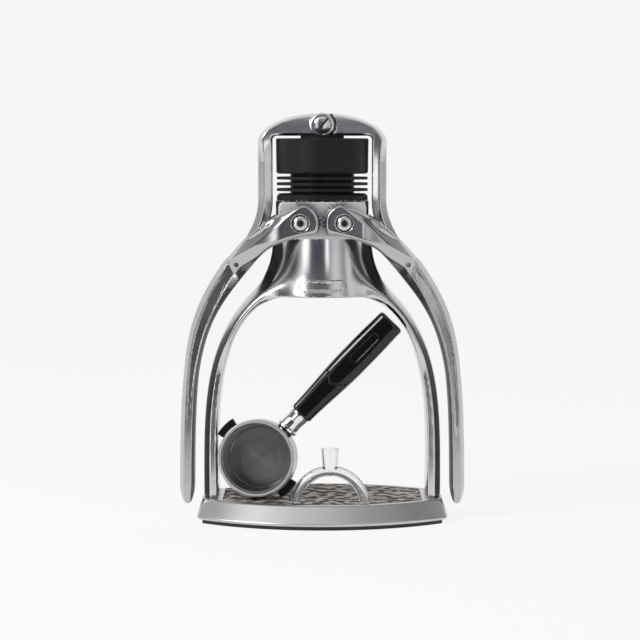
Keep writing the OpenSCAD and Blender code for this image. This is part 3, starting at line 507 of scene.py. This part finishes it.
def lever_field(x, y, z):
    ay = np.abs(y)
    s, q = beside(lever_line, lever_marks, x, z)
    t = np.clip(s - 1, 0, 1)
    wide = np.where(
        s < 1, mix(mix(20.4, 16.2, ease(s / 0.5)), 18.0, ease((s - 0.5) / 0.5)),
        mix(18.0, 10.6, np.minimum(1, t / 0.62)))
    tip = np.sqrt(np.clip(1 - (np.clip(t - 0.95, 0, 1) / 0.052) ** 2, 0.02, 1))
    wide = wide * tip
    u = q / wide + 0.5
    hollow = np.where(s < 1, mix(fork_gap, 9.3, ease((s - 0.25) / 0.75)), 9.3 - 9.3 * t / 0.075)
    leaf = plate_deep - 21.2 * (np.clip(x - 28, 0, None) / 33) ** 1.6
    above = 0.641 * (x - 25.5) + 0.767 * (z - 217.4)
    below = 0.264 * (33.6 - x) + 0.965 * (201.2 - z)
    band = smooth_max(leaf - 0.8 * above, hollow + 4, k=1.0)
    deep = smooth_min(leaf, band, leaf - 0.5 * below, k=0.8)
    deep = smooth_max(deep, mix(16.0, 13.5, ease(t / 0.4)), k=2.0) * tip
    grip = ease((s - 0.55) / 0.55)
    neck = ease(t / 0.35)
    out_at, out_drop = mix(0.93, mix(0.80, 0.72, neck), grip), mix(2.0, 0.58 * deep, grip)
    in_at, in_drop = mix(0.07, mix(0.36, 0.16, neck), grip), mix(2.0, 0.52 * deep, grip)
    flute_mid = mix(0.60, 0.44, neck)
    flute_half = 0.27 * np.sqrt(ease((s - 1.035) / 0.16)) * np.sqrt(np.clip((0.83 - t) / 0.3, 0, 1))
    flute = 1.3 * flute_half * ease((flute_half - np.abs(u - flute_mid)) / 0.10)
    front = ay - deep + flute
    clear = 30 * ease((0.34 - s) / 0.16)
    outside = ((u - out_at) * wide * out_drop + (ay - deep) * (1 - out_at) * wide) / np.hypot(
        out_drop, (1 - out_at) * wide) - clear
    inside = ((in_at - u) * wide * in_drop + (ay - deep) * in_at * wide) / np.hypot(
        in_drop, in_at * wide) - clear
    far = np.hypot(x - pivot[0], z - pivot[1])
    back = (x - pivot[0]) * 0.543 + (z - pivot[1]) * 0.84
    disc = smooth_max(far - 13.5, 205.7 - z, back - 10.2, k=2.0)
    outline = smooth_min(np.abs(q) - wide / 2, disc, k=3.0)
    rim = (outline + ay - deep + 1.5) * slant
    body = smooth_max(outline, front, rim, outside, inside, k=0.6)
    body = smooth_max(body, hollow - ay, lever_foot - z, k=1.2)
    low_side = np.maximum(205.9 - z, back - 6)
    gear_root = np.maximum(np.maximum(far - 14.1, low_side), np.maximum(ay - rim_back, rim_front - ay))
    body = np.minimum(body, gear_root)
    recess = np.maximum(far - head_radius, 43.4 - ay)
    hole = np.maximum(np.hypot(x - pin[0], z - pin[1]) - 1.5, 11.0 - ay)
    return np.maximum(smooth_max(body, -recess, k=0.5), -hole)


def fork_painted_shade(place):
    """The faces inside the fork and towards the legs, and the hole over the cross pin, where the lever
    is painted dark as shade.
    """
    spot = place.split()
    facing = place.node("ShaderNodeNewGeometry", {}, {}, out=1).split()
    inward = spot.sum("SIGN", spot.part(1)) * facing.part(1)
    across = spot.sum("ABSOLUTE", spot.part(0)) - pin[0] / 1000
    away = (across * across + (spot.part(2) - pin[1] / 1000) ** 2.0) ** 0.5
    between = spot.sum("SIGN", spot.part(0)) * facing.part(0)
    dark = ((-0.25 - inward) * 5).clipped() + 0.75 * ((-0.55 - between) * 5).clipped()
    return (dark + ((0.00155 - away) * 5000).clipped()).clipped()


# The lever castings are painted dark as shade inside the fork, towards the legs and in the pin hole.
lever_metal = polished("lever_metal", 0.51, 0.20, 0.04, painted_shade=fork_painted_shade)
points, faces, normals = skin_of(
    lever_field, (0, -plate_deep, lever_foot), (103.5, plate_deep, 229), 0.85)
for side, hand in (("right", 1), ("left", -1)):
    turn = np.array((hand, 1, 1))
    wound = faces if hand > 0 else faces[:, ::-1]
    lever = cast_piece("lever_casting_" + side, points * turn, wound, normals * turn, lever_metal)
    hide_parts("lever_" + side)
    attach(lever, "lever_" + side)


# Gear teeth. Ten cut teeth stand in the rim behind each end plate, front and rear; the two
# sets mesh between the pivots, so that both levers rise together. Left dull; their roots, on
# the lever castings, carry painted shade.
def tooth_mesh(hand):
    half = [(12.6, 4.0), (14.117, 3.6), (15.4, 1.68), (16.273, 1.1)]
    outline = [(r, math.radians(-a)) for r, a in half]
    outline += [(r, math.radians(a)) for r, a in half[::-1]]
    outline = [(-hand * r * math.cos(a), r * math.sin(a)) for r, a in outline]
    outline = outline[::-1] if hand > 0 else outline
    n = len(outline)
    places, sides = [], []
    for y0, y1 in ((-rim_back, -rim_front), (rim_front, rim_back)):
        k = len(places)
        places += [(x / 1000, y / 1000, z / 1000) for y in (y0, y1) for x, z in outline]
        sides += [tuple(range(k, k + n)), tuple(range(k + 2 * n - 1, k + n - 1, -1))]
        sides += [(k + i, k + i + n, k + (i + 1) % n + n, k + (i + 1) % n) for i in range(n)]
    mesh = bpy.data.meshes.new("gear_tooth")
    mesh.from_pydata(places, [], sides)
    return mesh


def rule_tree(name, inputs):
    """An empty Geometry Nodes tree with named inputs, and its input node."""
    tree = bpy.data.node_groups.new(name, "GeometryNodeTree")
    for label, kind in inputs:
        tree.interface.new_socket(label, in_out="INPUT", socket_type="NodeSocket" + kind)
    tree.interface.new_socket("Piece", in_out="OUTPUT", socket_type="NodeSocketGeometry")
    return tree, Level(tree, None).node("NodeGroupInput")


def end_tree(level, finish):
    """Makes the pieces real, gives them their finish and ends the tree."""
    real = level.node("GeometryNodeRealizeInstances", {}, {"Geometry": level})
    dressed = level.node("GeometryNodeSetMaterial", {}, {"Geometry": real, "Material": finish})
    level.tree.links.new(dressed.socket, level.tree.nodes.new("NodeGroupOutput").inputs[0])


def grown(name, start, tree, sizes):
    """The plain mesh that a tree makes from a start mesh and sizes, as one object."""
    seed = bpy.data.objects.new(name, start)
    scene.collection.objects.link(seed)
    rule = seed.modifiers.new(name, "NODES")
    rule.node_group = tree
    for item in tree.interface.items_tree:
        if item.in_out == "INPUT" and item.name in sizes:
            rule[item.identifier] = sizes[item.name]
    ready = bpy.context.evaluated_depsgraph_get()
    mesh = bpy.data.meshes.new_from_object(seed.evaluated_get(ready), depsgraph=ready)
    mesh.name = name
    bpy.data.objects.remove(seed)
    obj = bpy.data.objects.new(name, mesh)
    scene.collection.objects.link(obj)
    return obj


tooth_steel, shader, place = finish_named("cut_teeth")
shader.inputs["Metallic"].default_value = 1.0
feed(shader, "Base Color", grain(place, 700.0).mix(grey(0.40), grey(0.58, 0.01)))
feed(shader, "Roughness", 0.38 + 0.2 * (grain(place, 500.0) - 0.5))
tree, given = rule_tree("gear_rim", [
    ("Tooth", "Geometry"), ("Teeth", "Int"), ("First angle", "Float"), ("Pitch angle", "Float"),
    ("Pivot", "Vector")])
row = given.node("GeometryNodeMeshLine", {}, {"Count": given.part("Teeth"), "Offset": (0, 0, 0)})
angle = given.part("First angle") + given.part("Pitch angle") * given.node("GeometryNodeInputIndex")
turn = given.node("ShaderNodeCombineXYZ", {}, {1: angle})
ring = given.node(
    "GeometryNodeInstanceOnPoints", {},
    {"Points": row, "Instance": given.part("Tooth"), "Rotation": turn})
rim = given.node("GeometryNodeTransform", {}, {"Geometry": ring, "Translation": given.part("Pivot")})
end_tree(rim, tooth_steel)
tooth_count, tooth_pitch, tooth_shift = 10, 12, 3
for side, hand in (("right", 1), ("left", -1)):
    teeth = grown("gear_teeth_" + side, tooth_mesh(hand), tree, {
        "Teeth": tooth_count, "Pitch angle": hand * math.radians(tooth_pitch),
        "First angle": hand * math.radians(-tooth_pitch - tooth_shift * hand),
        "Pivot": (hand * pivot[0] / 1000, 0, pivot[1] / 1000)})
    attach(teeth, "lever_" + side)


# Yoke. Two equal castings, lapped at the top on one slotted screw, that reach down past the
# cup to the levers; each has a bright flat front and a dulled outer bevel.
yoke_half, yoke_top, crown_height, bar_low, cup_room = 46.1, 291.55, 20.85, 275.3, 35.5
eye_height, eye_radius, eye_face, lap, tail_half, knee = 282.77, 8.75, 9.2, 3.3, 5.3, 242.0
crown = np.radians(np.arange(90, -1, -5))
yoke_outside = np.concatenate([
    [(-12, yoke_top)],
    np.stack([
        yoke_half * np.cos(crown), yoke_top - crown_height + crown_height * np.sin(crown)], 1),
    [(yoke_half, knee)]])
tail_line = bez([(40.8, 230.7), (40.8, 212.2), (49.275, 201.2), pin], np.linspace(0, 1, 20))
tail_way = np.gradient(tail_line, axis=0)
tail_way /= np.linalg.norm(tail_way, axis=1)[:, None]
tail_left = np.stack([-tail_way[:, 1], tail_way[:, 0]], 1)
yoke_outside = np.concatenate([yoke_outside, tail_line + tail_left * tail_half])
corner = np.radians(np.arange(90, -1, -15))
yoke_inside = np.concatenate([
    [(-12, bar_low)],
    np.stack([cup_room - 3 + 3 * np.cos(corner), bar_low - 3 + 3 * np.sin(corner)], 1),
    [(cup_room, knee)], tail_line - tail_left * tail_half])


def yoke_field(x, y, z):
    ay = np.abs(y)
    outer = beside(yoke_outside, np.arange(len(yoke_outside)), x, z)[1]
    inner = -beside(yoke_inside, np.arange(len(yoke_inside)), x, z)[1]
    wide = np.maximum(-outer - inner, 1.0)
    half = mix(8.0, 9.5, ease((z - 197.5) / 30)) - 0.010 * np.clip(z - 274, 0, 17.6) ** 2
    bevel = np.minimum(wide * 0.45, mix(4.9, 1.8, ease((z - 252) / 36)))
    outside = ((ay - half) * bevel + (bevel + outer) * half * 0.62) / np.hypot(bevel, half * 0.62)
    ridge = -inner - (wide - bevel)
    inside = ay - half + 0.34 * ease((284 - z) / 30) * np.clip(-ridge, 0, 8)
    edge = ((ay - half) + (1.6 + inner)) * slant
    arm = smooth_max(outer, inner, ay - half, outside, inside, edge, k=0.7)
    arm = smooth_max(arm, -x, k=0.5)
    eye = np.hypot(x, z - eye_height)
    arm = np.maximum(arm, -np.maximum(eye - 10.2, y - lap))
    disc = smooth_max(
        eye - eye_radius, lap - y, y - eye_face, (eye - eye_radius + y - eye_face + 0.9) * slant, k=0.5)
    knuckle = smooth_max(np.hypot(x - pin[0], z - pin[1]) - 6.5, ay - 8.0, k=0.8)
    body = np.minimum(smooth_min(arm, disc, k=1.2), knuckle)
    return np.maximum(body, -(eye - 4.05))


def tail_painted_shade(place):
    """The faces of the tails that look towards the bell, where the yoke is painted dark as shade."""
    spot = place.split()
    facing = place.node("ShaderNodeNewGeometry", {}, {}, out=1).split()
    inward = spot.sum("SIGN", spot.part(0)) * facing.part(0)
    return ((-0.45 - inward) * 5).clipped() * ((0.235 - spot.part(2)) * 100).clipped()


# The tails' faces towards the bell are painted dark as shade.
yoke_metal = polished("yoke_metal", 0.74, 0.22, 0.04, painted_shade=tail_painted_shade)
points, faces, normals = skin_of(yoke_field, (-9.3, -9.6, 176.5), (68, 9.6, 291.6), 0.7)
for side, hand in (("right", 1), ("left", -1)):
    turn = np.array((hand, hand, 1))
    yoke = cast_piece("yoke_casting_" + side, points * turn, faces, normals * turn, yoke_metal)
    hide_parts("yoke_" + side)
    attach(yoke, "yoke_" + side)


def dress(finish, *names):
    for name in names:
        mesh = nodes[name].data
        mesh.materials.clear()
        mesh.materials.append(finish)


finish, shader, place = finish_named("moulded_black")
fleck = grain(place, 900.0, 2.0)
feed(shader, "Base Color", fleck.mix(grey(0.006), grey(0.011)))
feed(shader, "Roughness", 0.46 + 0.12 * (grain(place, 60.0) - 0.5))
feed(shader, "Normal", raised(place, fleck, 0.12, 0.0002))
shader.inputs["Specular IOR Level"].default_value = 0.3
dress(finish, "pressure_chamber", "plunger")

finish, shader, place = finish_named("seal_rubber")
feed(shader, "Base Color", grain(place, 300.0).mix(grey(0.02), grey(0.045, 0.05)))
feed(shader, "Roughness", 0.72 + 0.15 * (grain(place, 120.0) - 0.5))
dress(finish, "base_sole", "chamber_ring", "group_gasket", "piston_seal", "pivot_washers")

finish, shader, place = finish_named("piston_white")
feed(shader, "Base Color", grain(place, 200.0).mix(grey(0.70, 0.02), grey(0.78, 0.02)))
shader.inputs["Roughness"].default_value = 0.45
dress(finish, "piston_head")


# Mat. A thick rubber mat let into the base, moulded with an irregular wandering relief, its
# raised flats rubbed paler than the dark ground between them.
finish, shader, place = finish_named("mat_rubber")
spot = place.split()
flats = ((spot.part(2) - 0.01648) * 7000).clipped()
worn = grain(place, 420.0, 3.0)
feed(shader, "Base Color", flats.mix(
    worn.mix((0.045, 0.042, 0.042, 1), (0.09, 0.082, 0.08, 1)),
    worn.mix((0.27, 0.235, 0.215, 1), (0.46, 0.405, 0.375, 1))))
feed(shader, "Roughness", 0.45 + 0.3 * (1 - flats))
feed(shader, "Normal", raised(place, worn, 0.25, 0.0003))

mat_half, mat_deep, mat_floor, mat_ground, mat_top = 70.7, 50.8, 14.5, 16.25, 16.8
mat_margin, wave_count = 14.2, 26
draw = np.random.default_rng(11)
lengths = draw.uniform(5.5, 15, wave_count)
ways = draw.uniform(0, 3.14, wave_count)
phases = draw.uniform(0, 6.28, wave_count)
waves = [
    (length, math.cos(way) * 2 * math.pi / length, math.sin(way) * 2 * math.pi / length, phase)
    for length, way, phase in zip(lengths, ways, phases)]


def relief(x, y):
    """How high the mat stands at a place, from 0 in the ground to 1 on the flats."""
    u, v = x + 2.4 * np.sin(y / 3.4 + 1), y + 2.4 * np.sin(x / 2.9 + 2)
    wander = sum(length * np.sin(a * u + b * v + phase) for length, a, b, phase in waves)
    return ease(0.5 + wander / 28)


def mat_field(x, y, z):
    bow = np.maximum(np.hypot(x, y - bow_centre), np.hypot(x, y + bow_centre)) - bow_radius
    edge = smooth_max(bow + mat_margin, np.abs(x) - mat_half, k=1.5)
    return smooth_max(edge, z - mix(mat_ground, mat_top, relief(x, y)), mat_floor - z, k=0.3)


mat_skin = skin_of(mat_field, (-mat_half, -mat_deep, mat_floor), (mat_half, mat_deep, mat_top), 0.75)
mat = cast_piece("mat_moulding", *mat_skin, finish)
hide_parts("base_mat")
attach(mat, "frame")


# Fasteners and the group. Stainless button-head and slotted screws, the pins and the bayonet
# ring under the bell are turned steel; the lever bushes are bronze.
finish, shader, place = finish_named("turned_steel")
shader.inputs["Metallic"].default_value = 1.0
# Painted shade: the hex sockets of the pivot screws and the slot of the yoke screw are coloured dark,
# as the shade inside them.
spot = place.split()
across = spot.sum("ABSOLUTE", spot.part(0)) - pivot[0] / 1000
up = spot.part(2) - pivot[1] / 1000
socket = ((0.0021 - (across * across + up * up) ** 0.5) * 6000).clipped()
up = spot.part(2) - eye_height / 1000
off = spot.sum("ABSOLUTE", 0.643 * up - 0.766 * spot.part(0))
slot = ((0.0008 - off) * 8000).clipped() * ((up + 0.0075) * 8000).clipped()
slot = slot * ((-0.0095 - spot.part(1)) * 8000).clipped()
steel = grain(place, 500.0).mix(grey(0.60), grey(0.68, 0.015))
shade = grain(place, 900.0).mix(grey(0.03), grey(0.22))
feed(shader, "Base Color", (socket + slot).clipped().mix(steel, shade))
feed(shader, "Roughness", 0.22 + 0.14 * (grain(place, 350.0) - 0.5))
dress(
    finish, "base_screws", "pivot_screws", "group_ring", "group_screws", "shower_screen",
    "screen_screw", "piston_bolt", "yoke_screw", "yoke_nut", "cross_pin_left", "cross_pin_right",
    "basket_spring", "handle_stud")

finish, shader, place = finish_named("bush_bronze")
shader.inputs["Metallic"].default_value = 1.0
feed(shader, "Base Color", grain(place, 400.0).mix((0.52, 0.34, 0.16, 1), (0.62, 0.43, 0.22, 1)))
shader.inputs["Roughness"].default_value = 0.35
dress(finish, "bushes_left", "bushes_right")


# Portafilter. A turned bowl with two dark lugs, a spun basket inside it held by a wire spring,
# a chromed ferrule and a gloss black handle on a stud; it leans in the arch.
lean = Matrix.Translation((-47.306, -28, 46.338))
for angle, axis in ((-7, "Z"), (-5, "X"), (-46.05, "Y"), (90, "X")):
    lean = lean @ Matrix.Rotation(math.radians(angle), 4, axis)
mouth = lean.to_3x3() @ Vector((0, 0, 1))

finish, shader, place = finish_named("spun_steel")
shader.inputs["Metallic"].default_value = 1.0


def vector(operation, a, b=None, out=0):
    sockets = {0: a} if b is None else {0: a, ("Scale" if operation == "SCALE" else 1): b}
    return place.node("ShaderNodeVectorMath", {"operation": operation}, sockets, out=out)


arm = vector("SUBTRACT", place, lean.translation / 1000)
high = vector("DOT_PRODUCT", arm, mouth, out=1)
flat = vector("SUBTRACT", arm, vector("SCALE", tuple(mouth), high))
radius = vector("LENGTH", flat, out=1)


def turned_lines(scale, detail):
    return place.node(
        "ShaderNodeTexNoise", {"noise_dimensions": "1D"},
        {"W": radius + 0.7 * high, "Scale": scale, "Detail": detail})


lathe, line = turned_lines(60000.0, 0.0), turned_lines(2400.0, 1.0)
lug = ((radius - 0.0279) * 6000).clipped()
rim = ((radius - 0.0252) * 4000).clipped() * ((high + 0.0016) * 4000).clipped() * (1 - lug)
spun = line.mix(grey(0.16, 0.04), grey(0.36, 0.04))
turned = rim.mix(spun, line.mix(grey(0.70, 0.01), grey(0.82, 0.01)))
feed(shader, "Base Color", lug.mix(turned, line.mix(grey(0.012), grey(0.02))))
feed(shader, "Roughness", 0.20 + 0.08 * (line - 0.5) + 0.25 * lug + 0.2 * rim)
cut_depth = (0.8 * (lathe - 0.5) + 0.25 * (line - 0.5)) * (1 - rim)
groove = vector("SCALE", vector("NORMALIZE", flat), cut_depth)
facing = place.node("ShaderNodeNewGeometry", {}, {}, out=1)
feed(shader, "Normal", vector("NORMALIZE", vector("ADD", facing, groove)))
dress(finish, "filter_basket", "portafilter_bowl")

finish, shader, place = finish_named("ferrule_chrome")
shader.inputs["Metallic"].default_value = 1.0
feed(shader, "Base Color", grain(place, 300.0).mix(grey(0.78), grey(0.86)))
feed(shader, "Roughness", 0.05 + 0.05 * grain(place, 220.0))
dress(finish, "handle_ferrule")

finish, shader, place = finish_named("gloss_black")
feed(shader, "Base Color", grain(place, 500.0).mix(grey(0.0025), grey(0.005)))
feed(shader, "Roughness", 0.08 + 0.06 * (grain(place, 90.0) - 0.5))


grip_start, grip_end, grip_drop, oval = 44.2, 137.5, 11, 2.4


def grip_field(x, y, z):
    f, up = (x - grip_start) / (grip_end - grip_start), z + grip_drop
    swell, taper = ease(f / 0.55), 0.6 * ease((f - 0.7) / 0.3)
    wide, high = 8.4 + 2.3 * swell - taper, 8.0 + 1.38 * swell - taper
    body = ((np.abs(y / wide) ** oval + np.abs(up / high) ** oval) ** (1 / oval) - 1) * high
    step = ease((x - 74 - 0.8 * np.abs(y)) / 1.4)
    body = smooth_max(body, up - high + 0.4 + 1.2 * (1 - step), k=2.6)
    body = smooth_max(body, x - grip_end, k=2.6)
    body = smooth_max(body, grip_start - x, k=1.5)
    slot = np.hypot(np.maximum(np.abs(x - 110.3) - 10.3, 0), y) - 2.75
    return smooth_max(body, -np.maximum(slot, high - 1.3 - up), k=0.5)


points, faces, normals = skin_of(grip_field, (grip_start, -10.8, -21), (grip_end, 10.8, -1.5), 0.5)
turn = np.array(lean.to_3x3()).T
points = points @ turn + np.array(lean.translation)
grip = cast_piece("handle_moulding", points, faces, normals @ turn, finish)
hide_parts("handle_grip")
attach(grip, "portafilter")


# Twin spout. A clear moulded arch with a tapered socket, frosted a little by use, that stands
# loose on the mat.
finish, shader, place = finish_named("clear_plastic")
shader.inputs["Transmission Weight"].default_value = 1.0
shader.inputs["IOR"].default_value = 1.46
feed(shader, "Base Color", grain(place, 200.0).mix((0.92, 0.94, 0.95, 1), (0.98, 0.985, 0.99, 1)))
feed(shader, "Roughness", 0.10 + 0.08 * (grain(place, 150.0) - 0.5))
dress(finish, "twin_spout")
